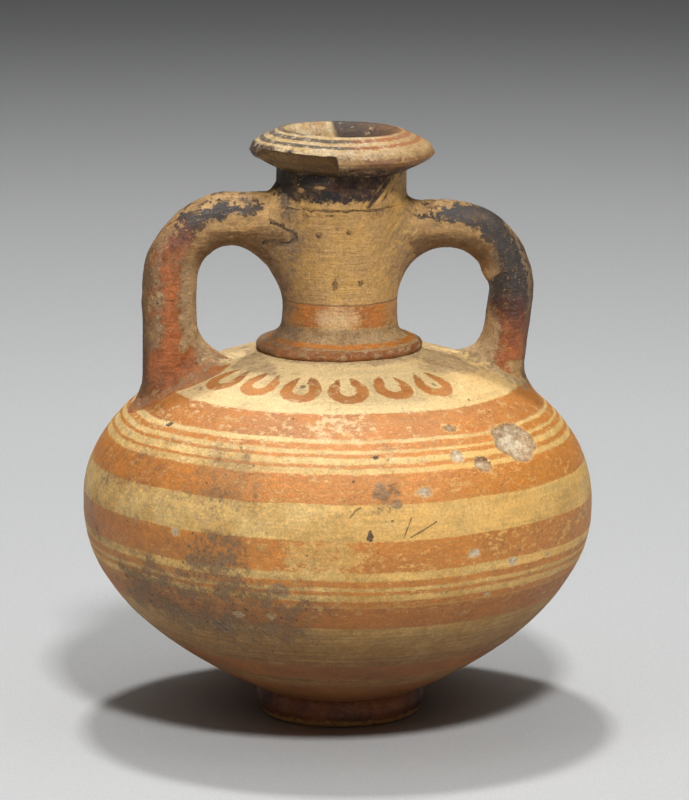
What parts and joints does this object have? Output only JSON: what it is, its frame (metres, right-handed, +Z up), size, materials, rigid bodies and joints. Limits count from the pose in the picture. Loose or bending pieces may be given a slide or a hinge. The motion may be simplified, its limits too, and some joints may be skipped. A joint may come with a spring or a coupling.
{
  "type": "aryballos flask",
  "caption": "Squat round-bellied clay flask with a ring foot, waisted neck, wide sloping lip and a looped handle from neck to shoulder at each side.",
  "frame": {"origin": "centre of the ring that the foot stands on", "axes": "+Z up along the vessel's axis, +X towards the thinner handle, -X towards the stouter handle"},
  "size_m": [0.1022, 0.1022, 0.118],
  "materials": {
    "banded_clay": "buff clay with worn orange-red slip bands, satin",
    "buff_clay": "bare buff clay, matte",
    "red_slip_clay": "worn red-brown slip, satin",
    "dark_slip_clay": "worn dark brown slip, satin"
  },
  "bodies": {
    "root": {"foot_ring": "red_slip_clay", "lower_body": "banded_clay", "upper_body": "banded_clay", "neck": "buff_clay", "neck_collar": "red_slip_clay", "throat": "dark_slip_clay", "lip_plate": "buff_clay", "left_handle": "red_slip_clay", "left_neck_wad": "buff_clay", "left_foot_wad": "red_slip_clay", "right_handle": "dark_slip_clay", "right_neck_wad": "buff_clay", "right_foot_wad": "red_slip_clay"}
  },
  "joints": []
}
